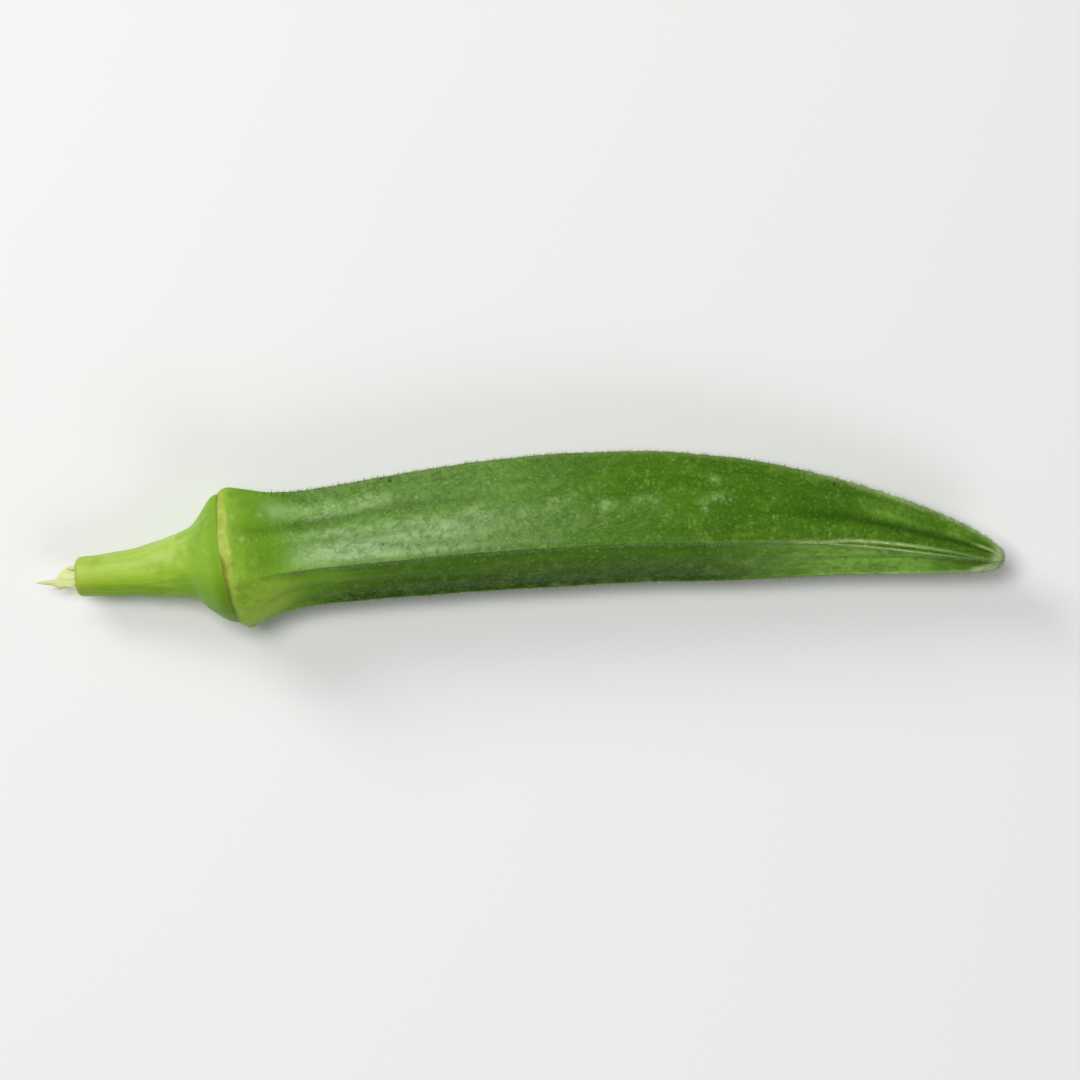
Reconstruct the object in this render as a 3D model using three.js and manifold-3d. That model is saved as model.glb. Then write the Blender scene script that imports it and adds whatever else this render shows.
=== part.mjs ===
// Okra pod, picked and lying on a flat surface: the five-ribbed seed capsule, and the cut
// stalk that flares into the cap behind it. Millimetres. +X runs from the stalk to the tip,
// +Z is up and the surface is at Z = 0. The origin is the middle of the footprint.
import * as THREE from 'three';
import { mergeVertices } from 'three/addons/utils/BufferGeometryUtils.js';
import Module from 'manifold-3d';

const wasm = await Module();
wasm.setup();

// Lengths along the pod are counted from the scar ring, where the cap meets the capsule.
const POD_END = 96.5;
const CUT_END = -19.3;
const SCAR_GAP = 0.3;
const FOOTPRINT_MIDDLE = new THREE.Vector2(36.15, -0.27);

// The middle line of the whole fruit, as [distance, sideways] and [distance, height].
const SIDEWAYS = [
  [-19.3, -5.0], [-11.6, -4.4], [-7.4, -3.75], [-3.9, -3.05], [0, -2.15], [8.4, -1.15],
  [19.4, 0.35], [31.4, 1.8], [43.6, 2.75], [52, 3.05], [60, 2.85], [68.4, 2.3],
  [79.4, 1.0], [89.9, -1.0], [97.3, -2.9],
];
const HEIGHT = [
  [-19.3, 4.4], [-7.4, 6.2], [0, 7.32], [8.4, 7.3], [30, 7.12], [50, 6.9], [60, 6.84],
  [68, 6.92], [80, 7.3], [97.3, 8.6],
];
// The way the cross-sections face, in degrees from +X towards +Y.
const TURN = [
  [-19.3, 4], [-11.6, 6], [-6, 8], [-3, 5], [-1, 7.2], [0, 8.5], [14, 7.7], [30, 5.8],
  [45, 2.8], [56, -0.5], [68, -4.5], [80, -8.5], [97.3, -14],
];
// The scar's plane leans back towards the stalk at its top.
const SCAR_LEAN = 2;
const SCAR_LEAN_REACH = 3.5;

// How far a rib stands from the middle line of the capsule, before its crest is added.
const POD_REACH = [
  [0.15, 8.65], [0.6, 9.05], [1.2, 9.4], [2.0, 9.2], [3.4, 8.68], [5.9, 7.78], [9.5, 7.33],
  [14, 7.5], [24, 7.95], [38, 8.42], [50, 8.42], [59, 8.05], [68.4, 7.2], [79.4, 5.45],
  [89.9, 3.4], [94.3, 2.1], [95.6, 1.5], [96.2, 1.1], [96.5, 0.75],
];
// The same for the stalk and its cap.
const STEM_REACH = [
  [-19.3, 2.2], [-19.1, 2.4], [-16.6, 2.55], [-14.1, 2.8], [-11.6, 3.05], [-9.6, 3.4],
  [-7.4, 3.8], [-5.3, 4.4], [-3.9, 5.1], [-2.6, 6.55], [-1.3, 7.95], [-0.5, 8.65],
  [-0.15, 8.65],
];

// The five ribs, in degrees from straight up towards -Y. The lowest two carry the pod.
const RIB_OUTER = -62;
const RIB_TOP = [[-20, 23], [4, 23], [22, 26], [60, 26], [80, 21], [98, 20]];
const RIB_SIDE = 90;
const RIB_LOW_RIGHT = 146;
const RIB_LOW_LEFT = 214;
// How round the wall is between two ribs: 0 is a flat wall, 1 is round, below 0 is hollow.
const WALL_ROUNDNESS = [0.62, 0.5, 0.45, -0.15, 0.5];
// At the scar the two upper walls are rounder than that, which fades along this stretch.
const SHOULDER_ROUNDING = [0.4, 0.52, 0, 0, 0];
const SHOULDER_FADE = [2, 11];
// The walls sink between the ribs behind the shoulder, and more so towards the tip.
const WALL_SINK = [[0, 0.05], [8, 0.25], [24, 0.08], [45, 0], [70, 0.12], [86, 0.55], [97.3, 0.9]];

// Each rib has a narrow crest between two shallow hollows. The crests rise out of the smooth
// shoulder along this stretch.
const CREST_HEIGHT = 0.3;
const CREST_WIDTH = 0.5;
const CREST_RISE = [2, 9];
const HOLLOW_DEPTH = 0.1;
const HOLLOW_PLACE = 1.25;
const HOLLOW_WIDTH = 0.6;
// Each wall has a groove half way across it, but the upper one's wanders between its ribs.
const GROOVE_DEPTH = [
  [0, 0.05], [8, 0.28], [30, 0.16], [50, 0.06], [68, 0.12], [79, 0.32], [90, 0.46], [95, 0.3],
  [97.3, 0.1],
];
const UPPER_GROOVE = [
  [0, 0.55], [6, 0.5], [12, 0.41], [28, 0.39], [45, 0.45], [60, 0.56], [68, 0.61], [78, 0.58],
  [97.3, 0.56],
];
const GROOVE_WIDTH = 0.8;
// On slimmer stretches than this, crests and grooves shrink with the capsule.
const FULL_RELIEF_REACH = 4.5;
// The cap turns from the round stalk to the five-sided scar over this length.
const CAP_LENGTH = 9;

// Where the cross-sections are: close together at the shoulder, the tip and the flare.
const SHOULDER_END = 9.5;
const TIP_START = 84;
const FLARE_START = -8;
const CUT_BEVEL = 0.25;
const SHOULDER_STEPS = 13;
const BODY_STEPS = 25;
const TIP_STEPS = 14;
const FLARE_STEPS = 12;
const STALK_STEPS = 6;
const BUNCHING = 1.5;
// Places across a wall from rib to rib, closer together by the ribs and the groove.
const POD_PLACES = [
  0, 0.03, 0.08, 0.15, 0.25, 0.34, 0.4, 0.45, 0.5, 0.55, 0.6, 0.66, 0.75, 0.85, 0.92, 0.97,
];
const STEM_PLACES = [0, 0.12, 0.25, 0.38, 0.5, 0.62, 0.75, 0.88];

// The tongue of bark that tore off with the cut: [distance, sideways, height, half width,
// half thickness] down its length.
const TONGUE = [
  [-18.2, -5.0, 4.85, 1.35, 0.55],
  [-19.8, -5.0, 4.95, 1.4, 0.5],
  [-20.8, -5.25, 5.05, 1.15, 0.42],
  [-21.7, -5.65, 5.1, 0.8, 0.36],
  [-22.1, -5.7, 5.15, 0.42, 0.3],
  [-23.2, -5.72, 5.35, 0.26, 0.22],
  [-24.3, -5.72, 5.65, 0.12, 0.12],
];
const TONGUE_SIDES = 8;

const POD_MATERIAL = new THREE.MeshStandardMaterial({ color: 0x5c8c35, roughness: 0.5, metalness: 0 });
const STEM_MATERIAL = new THREE.MeshStandardMaterial({ color: 0xa0bf52, roughness: 0.5, metalness: 0 });

// A smooth function through [distance, value] pairs, with a cubic between each two.
function through(pairs) {
  const slopes = pairs.map((pair, i) => {
    const before = pairs[Math.max(i - 1, 0)];
    const after = pairs[Math.min(i + 1, pairs.length - 1)];
    return (after[1] - before[1]) / (after[0] - before[0]);
  });
  return (distance) => {
    const next = pairs.findIndex((pair) => pair[0] > distance);
    const i = next < 0 ? pairs.length - 2 : Math.max(next - 1, 0);
    const [start, low] = pairs[i];
    const [end, high] = pairs[i + 1];
    const length = end - start;
    const t = THREE.MathUtils.clamp((distance - start) / length, 0, 1);
    return low + (high - low) * t * t * (3 - 2 * t)
      + slopes[i] * length * t * (1 - t) ** 2 - slopes[i + 1] * length * t * t * (1 - t);
  };
}

const sideways = through(SIDEWAYS);
const height = through(HEIGHT);
const turn = through(TURN);
const podReach = through(POD_REACH);
const stemReach = through(STEM_REACH);
const ribTop = through(RIB_TOP);
const wallSink = through(WALL_SINK);
const grooveDepth = through(GROOVE_DEPTH);
const upperGroove = through(UPPER_GROOVE);

const bell = (x) => Math.exp(-x * x);
const UPWARD = new THREE.Vector3(0, 0, 1);

// The five ribs' angles at a distance along the pod, with the first again at the end.
function ribAngles(distance) {
  const degrees = [RIB_OUTER, ribTop(distance), RIB_SIDE, RIB_LOW_RIGHT, RIB_LOW_LEFT, RIB_OUTER + 360];
  return degrees.map(THREE.MathUtils.degToRad);
}

// The frame of one cross-section: its middle, and its upward and sideways directions.
function sectionFrame(distance) {
  const step = 0.5;
  const climb = Math.atan((height(distance + step) - height(distance - step)) / (2 * step));
  const lean = THREE.MathUtils.degToRad(SCAR_LEAN) * bell(distance / SCAR_LEAN_REACH);
  const side = new THREE.Vector3(0, 1, 0).applyAxisAngle(UPWARD, THREE.MathUtils.degToRad(turn(distance)));
  const up = UPWARD.clone().applyAxisAngle(side, -(climb + lean));
  const middle = new THREE.Vector3(distance, sideways(distance), height(distance));
  return { middle, up, side };
}

// The capsule's wall at a place across one wall, as a distance from the middle line.
function podWall(distance, wall, place, span) {
  const reach = podReach(distance);
  const relief = Math.min(1, reach / FULL_RELIEF_REACH);
  const shoulder = 1 - THREE.MathUtils.smoothstep(distance, ...SHOULDER_FADE);
  const roundness = WALL_ROUNDNESS[wall] + SHOULDER_ROUNDING[wall] * shoulder - wallSink(distance);
  const chord = Math.cos(span / 2) / Math.cos((place - 0.5) * span);
  const fromRib = Math.min(place, 1 - place) * span * reach / relief;
  const groovePlace = wall === 0 ? upperGroove(distance) : 0.5;
  const fromGroove = Math.abs(place - groovePlace) * span * reach / relief;
  const rise = THREE.MathUtils.smoothstep(distance, ...CREST_RISE);
  const crest = CREST_HEIGHT * rise * bell(fromRib / CREST_WIDTH);
  const hollow = HOLLOW_DEPTH * bell((fromRib - HOLLOW_PLACE) / HOLLOW_WIDTH);
  const groove = grooveDepth(distance) * bell(fromGroove / GROOVE_WIDTH);
  return reach * (chord + roundness * (1 - chord)) + relief * (crest - hollow - groove);
}

// The stalk's wall in the same terms: round at the cut, five-sided where it meets the scar.
function stemWall(distance, wall, place, span) {
  const cap = THREE.MathUtils.smoothstep(distance, -CAP_LENGTH, 0);
  const roundness = THREE.MathUtils.lerp(1, WALL_ROUNDNESS[wall] + SHOULDER_ROUNDING[wall], cap);
  const chord = Math.cos(span / 2) / Math.cos((place - 0.5) * span);
  return stemReach(distance) * (chord + roundness * (1 - chord));
}

// The points of one cross-section, with what would reach below the surface flattened on it.
function section(distance, places, wallAt) {
  const { middle, up, side } = sectionFrame(distance);
  const angles = ribAngles(distance);
  const points = [];
  for (let wall = 0; wall < WALL_ROUNDNESS.length; wall += 1) {
    const span = angles[wall + 1] - angles[wall];
    for (const place of places) {
      const angle = angles[wall] + place * span;
      const reach = wallAt(distance, wall, place, span);
      const point = middle.clone()
        .addScaledVector(up, reach * Math.cos(angle))
        .addScaledVector(side, -reach * Math.sin(angle));
      point.z = Math.max(point.z, 0);
      points.push(point);
    }
  }
  return points;
}

// A closed skin over cross-sections that all have the same number of points.
function skin(sections) {
  const count = sections[0].length;
  const first = sections[0];
  const last = sections[sections.length - 1];
  const middleOf = (points) => points
    .reduce((sum, point) => sum.add(point), new THREE.Vector3())
    .divideScalar(count);
  const points = [...sections.flat(), middleOf(first), middleOf(last)];
  const firstMiddle = points.length - 2;
  const lastMiddle = points.length - 1;
  const lastStart = (sections.length - 1) * count;
  const index = [];
  for (let j = 0; j < count; j += 1) {
    const k = (j + 1) % count;
    for (let start = 0; start < lastStart; start += count) {
      index.push(start + j, start + k, start + count + j);
      index.push(start + k, start + count + k, start + count + j);
    }
    index.push(firstMiddle, k, j);
    index.push(lastMiddle, lastStart + j, lastStart + k);
  }
  const geometry = new THREE.BufferGeometry().setFromPoints(points);
  geometry.setIndex(index);
  return geometry;
}

// Distances from one end up to the other, bunched up at the first end if asked.
function distances(from, to, steps, power = 1) {
  return Array.from({ length: steps }, (_, i) => from + (to - from) * (i / steps) ** power);
}

function podGeometry() {
  const places = [
    ...distances(SCAR_GAP / 2, SHOULDER_END, SHOULDER_STEPS, BUNCHING),
    ...distances(SHOULDER_END, TIP_START, BODY_STEPS),
    TIP_START,
    ...distances(POD_END, TIP_START, TIP_STEPS, BUNCHING).reverse(),
  ];
  return skin(places.map((distance) => section(distance, POD_PLACES, podWall)));
}

function stalkGeometry() {
  const places = [
    CUT_END,
    ...distances(CUT_END + CUT_BEVEL, FLARE_START, STALK_STEPS),
    ...distances(-SCAR_GAP / 2, FLARE_START, FLARE_STEPS, BUNCHING).reverse(),
  ];
  return skin(places.map((distance) => section(distance, STEM_PLACES, stemWall)));
}

function tongueGeometry() {
  return skin(TONGUE.map(([distance, middleY, middleZ, halfWidth, halfThickness]) => {
    const points = [];
    for (let j = 0; j < TONGUE_SIDES; j += 1) {
      const angle = (j + 0.5) * 2 * Math.PI / TONGUE_SIDES;
      const y = middleY - halfWidth * Math.sin(angle);
      const z = middleZ + halfThickness * Math.cos(angle);
      points.push(new THREE.Vector3(distance, y, z));
    }
    return points;
  }).reverse());
}

function toSolid(geometry) {
  const bare = geometry.clone();
  bare.deleteAttribute('normal');
  bare.deleteAttribute('uv');
  const merged = mergeVertices(bare);
  return new wasm.Manifold(new wasm.Mesh({
    numProp: 3,
    vertProperties: new Float32Array(merged.attributes.position.array),
    triVerts: new Uint32Array(merged.index.array),
  }));
}

function toGeometry(solid) {
  const mesh = solid.getMesh();
  const geometry = new THREE.BufferGeometry();
  geometry.setAttribute('position', new THREE.BufferAttribute(mesh.vertProperties, 3));
  geometry.setIndex(new THREE.BufferAttribute(mesh.triVerts, 1));
  return geometry;
}

function named(name, geometry, material) {
  geometry.translate(-FOOTPRINT_MIDDLE.x, -FOOTPRINT_MIDDLE.y, 0);
  geometry.computeVertexNormals();
  const mesh = new THREE.Mesh(geometry, material);
  mesh.name = name;
  return mesh;
}

const stem = toGeometry(toSolid(stalkGeometry()).add(toSolid(tongueGeometry())));

const okra = new THREE.Group();
okra.add(named('pod', podGeometry(), POD_MATERIAL));
okra.add(named('stem', stem, STEM_MATERIAL));

export default okra;
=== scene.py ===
"""Dresses the okra pod: its ribbed skin, cut stalk, scar ring, torn bark and fine hairs."""

import math

import bpy
import numpy as np
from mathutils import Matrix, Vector, noise


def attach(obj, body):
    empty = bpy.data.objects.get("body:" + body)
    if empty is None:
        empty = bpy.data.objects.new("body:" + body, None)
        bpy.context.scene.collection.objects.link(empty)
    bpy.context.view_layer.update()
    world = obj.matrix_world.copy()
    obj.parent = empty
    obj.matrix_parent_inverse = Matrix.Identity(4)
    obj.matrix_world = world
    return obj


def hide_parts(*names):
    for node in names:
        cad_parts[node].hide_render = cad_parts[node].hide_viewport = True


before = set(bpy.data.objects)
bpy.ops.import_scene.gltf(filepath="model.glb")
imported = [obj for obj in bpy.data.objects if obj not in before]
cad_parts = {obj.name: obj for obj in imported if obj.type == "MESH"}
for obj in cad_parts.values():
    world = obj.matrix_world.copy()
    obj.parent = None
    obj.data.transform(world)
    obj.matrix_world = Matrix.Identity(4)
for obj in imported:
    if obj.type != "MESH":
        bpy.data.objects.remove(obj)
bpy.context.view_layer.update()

MM = 0.001
BODY = "root"

# Form of the pod as in the frame's solids. Distances are millimetres along it from the scar ring.
POD_START = 0.05
POD_END = 96.5
CUT_END = -19.3
CAP_END = 0.1
FOOTPRINT_MIDDLE = (36.15, -0.27)
# The middle line: its place sideways and its height by distance, and its heading in degrees.
SIDEWAYS = [
    (-19.3, -5.0), (-11.6, -4.4), (-7.4, -3.75), (-3.9, -3.05), (0, -2.15), (8.4, -1.15),
    (19.4, 0.35), (31.4, 1.8), (43.6, 2.75), (52, 3.05), (60, 2.85), (68.4, 2.3),
    (79.4, 1.0), (89.9, -1.0), (97.3, -2.9),
]
HEIGHT = [
    (-19.3, 4.4), (-7.4, 6.2), (0, 7.32), (8.4, 7.3), (30, 7.12), (50, 6.9), (60, 6.84),
    (68, 6.92), (80, 7.3), (97.3, 8.6),
]
TURN = [
    (-19.3, 4), (-11.6, 6), (-6, 8), (-3, 5), (-1, 7.2), (0, 8.5), (14, 7.7), (30, 5.8),
    (45, 2.8), (56, -0.5), (68, -4.5), (80, -8.5), (97.3, -14),
]
CLIMB_STEP = 0.5
SCAR_LEAN = 2
SCAR_LEAN_REACH = 3.5
# How far the ribs stand out from the middle line by distance.
POD_REACH = [
    (0.05, 8.6), (0.6, 9.05), (1.2, 9.4), (2.0, 9.2), (3.4, 8.68), (5.9, 7.78), (9.5, 7.33),
    (14, 7.5), (24, 7.95), (38, 8.42), (50, 8.42), (59, 8.05), (68.4, 7.2), (79.4, 5.45),
    (89.9, 3.4), (94.3, 2.1), (95.6, 1.5), (96.2, 1.1), (96.5, 0.7),
]
STEM_REACH = [
    (-19.3, 1.95), (-19.15, 2.2), (-18.8, 2.42), (-18.2, 2.5), (-16.6, 2.55), (-14.1, 2.8),
    (-11.6, 3.05), (-9.6, 3.4), (-7.4, 3.8), (-5.3, 4.4), (-3.9, 5.1), (-2.6, 6.5),
    (-1.3, 7.85), (-0.5, 8.45), (0.1, 8.6),
]
# Where the ribs are, in degrees from straight up.
RIB_OUTER = -62
RIB_TOP = [(-20, 23), (4, 23), (22, 26), (60, 26), (80, 21), (98, 20)]
RIB_SIDE = 90
RIB_LOW_RIGHT = 146
RIB_LOW_LEFT = 214
# The walls between the ribs, from the outer rib on: 0 is flat, 1 is round.
WALL_ROUNDNESS = np.array([0.62, 0.5, 0.45, -0.15, 0.5])
SHOULDER_ROUNDING = np.array([0.4, 0.52, 0, 0, 0])
SHOULDER_FADE = (2, 11)
WALL_SINK = [(0, 0.05), (8, 0.25), (24, 0.08), (45, 0), (70, 0.12), (86, 0.55), (97.3, 0.9)]
# The groove along each wall. On the upper wall it strays from the middle: its place across it.
GROOVE_DEPTH = [
    (0, 0.05), (8, 0.28), (30, 0.16), (50, 0.06), (68, 0.12), (79, 0.32), (90, 0.46),
    (95, 0.3), (97.3, 0.1),
]
UPPER_GROOVE = [
    (0, 0.55), (6, 0.5), (12, 0.41), (28, 0.39), (45, 0.45), (60, 0.56), (68, 0.61),
    (78, 0.58), (97.3, 0.56),
]
GROOVE_MIDDLE = 0.5
GROOVE_WIDTH = 0.8
# Painted shade along the groove: its width, and its share on the side wall.
GROOVE_SHADE_WIDTH = 0.75
SIDE_GROOVE_SHADE = 0.3
# Each rib's crest, with small beads along it, and the hollow beside it.
CREST_HEIGHT = 0.28
CREST_WIDTH = 0.36
BEAD_SIZE = 1.1
BEAD_HEIGHT = 0.25
HOLLOW_DEPTH = 0.05
HOLLOW_PLACE = 1.25
HOLLOW_WIDTH = 0.6
FULL_RELIEF_REACH = 4.5
CAP_LENGTH = 9

# The crests rise out of the shoulder, and each rib is pale along a stretch of its own.
CREST_RISE = (2, 9)
RIB_PALENESS = [
    [(0, 0), (10, 0.35), (40, 0.6), (60, 0.8), (86, 0.6), (98, 0.9)],
    [(0, 0), (10, 0.05), (48, 0.08), (66, 0.5), (73, 1.0), (87, 0.95), (91.5, 0.35), (98, 0.5)],
    [(0, 0), (10, 0.1), (60, 0.15), (80, 0.6), (98, 0.8)],
    [(0, 0.1), (10, 0.5), (60, 0.6), (80, 0.8), (98, 0.8)],
    [(0, 0.1), (10, 0.35), (60, 0.5), (80, 0.8), (98, 0.8)],
]
# Painted highlight on the upper wall, as pale waxy colour: its share along a band beside the top
# rib, which is weaker at the rib and has a line across it near the shoulder. A strip lies near the
# outer rib, a veil all over.
HIGHLIGHT_ALONG = [(0, 0), (6, 0.1), (9, 1), (24, 0.9), (34, 0.5), (44, 0.2), (54, 0.05), (64, 0), (98, 0)]
NEAR_SHOULDER = (16, 26)
BAND_GROWS = (0.44, 0.6)
BAND_WEAKENS = (0.93, 1)
BAND_WEAKENING = 0.5
BAND_LINE = (0.7, 0.06)
BAND_LINE_SHARE = 0.45
STRIP = (0.25, 0.13)
STRIP_GROWS = (4, 6.5)
STRIP_SHARE = 1.4
VEIL_GROWS = (6, 11)
VEIL_FADES = (30, 52)
VEIL_SHARE = 0.44
# Yellow ripeness along each wall; on the side wall, the second list, it is higher and reaches
# further along, partly as painted light on its lower shoulder.
RIPENESS_AND_SIDE_LIGHT = [
    [(0, 1.8), (2.5, 1.3), (6, 0.8), (10, 0.35), (16, 0), (86, 0), (94, 0.3), (98, 0.5)],
    [(0, 1.8), (5, 1.7), (10, 1.0), (18, 0.35), (34, 0), (88, 0), (98, 0.4)],
    [(0, 1.2), (4, 1), (13, 0), (84, 0), (94, 0.5), (98, 0.6)],
    [(0, 1.2), (4, 1), (12, 0), (84, 0), (94, 0.5), (98, 0.6)],
    [(0, 1.5), (3, 1), (10, 0), (84, 0), (94, 0.5), (98, 0.6)],
]
# Pale scuffs on the upper wall: distance, place across it, half length and half width.
SCUFFS = [
    (2.4, 0.6, 0.32, 0.32), (1.7, 0.38, 0.28, 0.3), (4.5, 0.33, 0.25, 0.25), (30.6, 0.57, 1.6, 0.8),
    (41.1, 0.55, 1.3, 0.7), (46.9, 0.6, 1.0, 0.9), (51.6, 0.54, 1.7, 0.6), (52.9, 0.6, 0.5, 1.2),
    (59.2, 0.58, 0.45, 1.2), (60.8, 0.52, 1.4, 0.4), (60.2, 0.3, 0.7, 0.6), (27.5, 0.75, 1.5, 0.7),
]
# The corky scar ring: where it starts and ends on the shoulder, by degrees from straight up.
SCAR_START = [
    (-150, 0.2), (-62, 0.2), (-48, 0.15), (-27, 0.05), (-17, -0.3), (-7, -0.3), (6, 0.3),
    (18, 0.4), (40, 0.45), (90, 0.3), (210, 0.2),
]
SCAR_END = [
    (-150, 1.0), (-62, 1.0), (-48, 1.05), (-27, 1.35), (-17, 1.15), (-7, 1.3), (6, 1.3),
    (18, 1.15), (27, 1.2), (40, 0.95), (60, 0.7), (90, 0.6), (210, 1.0),
]
SCAR_START_WANDER = [(0.12, 0.9, 8, 1)]
SCAR_END_WANDER = [(0.15, 1.4, 9, 1)]
SCAR_LAST_DEGREE = 210
SCAR_FADE = (20, 44)
SCAR_SHOULDER = 3
SCAR_RIM = 9
SCAR_HEIGHT = 0.13
# A short extra rib runs into the tip across the upper wall.
SHORT_RIB_PLACE = 0.42
SHORT_RIB = ((92, 94), (94.8, 96))
SHORT_RIB_WIDTH = 0.22
SHORT_RIB_HEIGHT = 0.12
SHORT_RIB_PALENESS = 0.7
# The top rib splits in two towards the tip: half the split's width along the pod.
RIB_SPLIT = [(0, 0), (73, 0), (78, 0.33), (89, 0.37), (94, 0.1), (98, 0)]
SPLIT_START = 0.02
SPLIT_NARROWING = 0.45
TOP_RIB = 1
# Painted bounce light: brighter green on the side wall, growing and fading along it towards the
# tip; brighter green also in patches on the upper wall.
BOUNCE_LIGHT_GROWS = (57, 80)
BOUNCE_LIGHT_FADES = (85, 95)
BRIGHT_PATCHES = [(82, 0.32, 3.5), (90.6, 0.3, 1.6)]
BRIGHT_PATCH_WIDTH = 0.16
BRIGHT_PATCH_SHARE = 0.4
# Painted shade: the side wall is darker below, along the pod's first two thirds.
SHADE_ACROSS = (0.2, 0.9)
SHADE_GROWS = (3, 14)
SHADE_FADES = (54, 74)
# The skin frays to pale fibre at the tip, a little sooner on the side wall.
FRAYED = (94.6, 96.2)
FRAYED_SOONER = 2.4
# Unevenness of the flesh: height, size of the swells, seed and how much it draws out along.
POD_SWELLS = [(0.1, 8.0, 2, 1), (0.06, 2.2, 3, 0.45), (0.022, 0.9, 4, 1)]
STEM_SWELLS = [(0.06, 1.7, 5, 0.3), (0.05, 3.0, 6, 1)]
# The tip closes in two rows: their share of the way in, and how far on they lie.
TIP_CLOSING = [(0.35, 0.1), (0.75, 0.14)]
# The flesh is calmer at the tip.
CALM_TIP = (84, 97)
CALM_SHARE = 0.7

# How finely the skins are woven: columns to a wall, rows along, and where rows are crowded.
POD_COLUMNS = 38
POD_ROWS = 420
STEM_COLUMNS = 22
STEM_ROWS = 150
POD_CROWDED = [(1, 5), (POD_END, 6)]
STEM_CROWDED = [(-2.5, 2.5), (CUT_END, 1)]
CROWDING = 1.6
FINE_STEPS = 2000
COLUMN_EVENNESS = 0.35
SEED_SHIFT = 17.3
RIB_BLEND = 0.22


# Curves and patterns


def through(pairs):
    """A smooth function through (distance, value) pairs, with a cubic between each two."""
    places, values = (np.array(column, float) for column in zip(*pairs))
    last = len(pairs) - 1
    before = np.maximum(np.arange(last + 1) - 1, 0)
    after = np.minimum(np.arange(last + 1) + 1, last)
    slopes = (values[after] - values[before]) / (places[after] - places[before])

    def curve(distance):
        i = np.clip(np.searchsorted(places, distance, side="right") - 1, 0, last - 1)
        length = places[i + 1] - places[i]
        t = np.clip((distance - places[i]) / length, 0, 1)
        rise = (values[i + 1] - values[i]) * t * t * (3 - 2 * t)
        return rise + values[i] + length * t * (1 - t) * (slopes[i] * (1 - t) - slopes[i + 1] * t)

    return curve


sideways = through(SIDEWAYS)
height = through(HEIGHT)
turn = through(TURN)
pod_reach = through(POD_REACH)
stem_reach = through(STEM_REACH)
rib_top = through(RIB_TOP)
wall_sink = through(WALL_SINK)
groove_depth = through(GROOVE_DEPTH)
upper_groove = through(UPPER_GROOVE)
rib_split = through(RIB_SPLIT)
rib_paleness = [through(pairs) for pairs in RIB_PALENESS]
highlight_along = through(HIGHLIGHT_ALONG)
ripeness_and_side_light = [through(pairs) for pairs in RIPENESS_AND_SIDE_LIGHT]


def bell(x):
    """1 at 0, falling to 0 on both sides."""
    return np.exp(-x * x)


def peak(x, at, width):
    """1 where x is at this place, falling to 0 on both sides over this width."""
    return bell((x - at) / width)


def smooth(x, low, high):
    """0 at low, rising smoothly to 1 at high."""
    t = np.clip((x - low) / (high - low), 0, 1)
    return t * t * (3 - 2 * t)


def stretch(x, grows, fades):
    """1 between the two stretches over which it grows from 0 and fades to 0 again."""
    return smooth(x, *grows) * (1 - smooth(x, *fades))


def section_frames(along):
    """The middle, upward and sideways directions of the cross-sections at these distances."""
    rise = height(along + CLIMB_STEP) - height(along - CLIMB_STEP)
    climb = np.arctan(rise / (2 * CLIMB_STEP))
    lean = climb + math.radians(SCAR_LEAN) * bell(along / SCAR_LEAN_REACH)
    facing = np.radians(turn(along))
    level = np.zeros_like(along)
    middle = np.stack([along, sideways(along), height(along)], -1)
    side = np.stack([-np.sin(facing), np.cos(facing), level], -1)
    forward = np.stack([np.cos(facing), np.sin(facing), level], -1)
    up = np.array([0, 0, 1]) * np.cos(lean)[:, None] - forward * np.sin(lean)[:, None]
    return middle, up, side


def wall_grid(along, columns):
    """For each row and column: the angle, which wall it is on, its place there and the span."""
    angles = np.stack([
        np.full_like(along, RIB_OUTER), rib_top(along), np.full_like(along, RIB_SIDE),
        np.full_like(along, RIB_LOW_RIGHT), np.full_like(along, RIB_LOW_LEFT),
        np.full_like(along, RIB_OUTER + 360),
    ], -1)
    angles = np.radians(angles)
    even = np.arange(columns) / columns
    crowded = (1 - np.cos(math.pi * even)) / 2
    places = COLUMN_EVENNESS * even + (1 - COLUMN_EVENNESS) * crowded
    wall = np.repeat(np.arange(len(WALL_ROUNDNESS)), columns)
    place = np.tile(places, len(WALL_ROUNDNESS))
    span = angles[:, wall + 1] - angles[:, wall]
    angle = angles[:, wall] + place * span
    return angle, wall, place, span


def waver(points, size, seed):
    """Smooth random values from -1 to 1 at these points, wandering over this size."""
    shape = points.shape[:-1]
    flat = points.reshape(-1, 3) / size + seed * SEED_SHIFT
    return np.array([noise.noise(Vector(p)) for p in flat]).reshape(shape)


def across_walls(shares, along, wall, place):
    """A value that each wall has along it, blended over the ribs into the next wall's."""
    values = np.stack([share(along) for share in shares], -1)
    own, before, after = (values[:, (wall + k) % len(shares)] for k in (0, -1, 1))
    beside = np.where(place < 0.5, before, after)
    near_rib = 1 - smooth(np.minimum(place, 1 - place), 0, RIB_BLEND)
    return own + (beside - own) * 0.5 * near_rib


def uneven(points, swells):
    """The summed swells of the flesh at these points."""
    return sum(
        high * waver(points * np.array([drawn_out, 1, 1]), size, seed)
        for high, size, seed, drawn_out in swells
    )


def grid_points(along, angle, reach):
    """Points this far from the middle line, at these distances along it and angles round it."""
    middle, up, side = section_frames(along)
    points = middle[:, None] + up[:, None] * (reach * np.cos(angle))[..., None]
    return points - side[:, None] * (reach * np.sin(angle))[..., None]


def rest_on_floor(points):
    """The points with none below the floor, so that the pod lies on small flats."""
    points[..., 2] = np.maximum(points[..., 2], 0)
    return points


def grid_normals(points):
    """Outward directions of a grid of points that closes on itself sideways."""
    ahead = np.gradient(points, axis=0)
    around = np.roll(points, -1, axis=1) - np.roll(points, 1, axis=1)
    normals = np.cross(around, ahead)
    return normals / np.maximum(np.linalg.norm(normals, axis=-1, keepdims=True), 1e-9)


# Meshes


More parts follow.
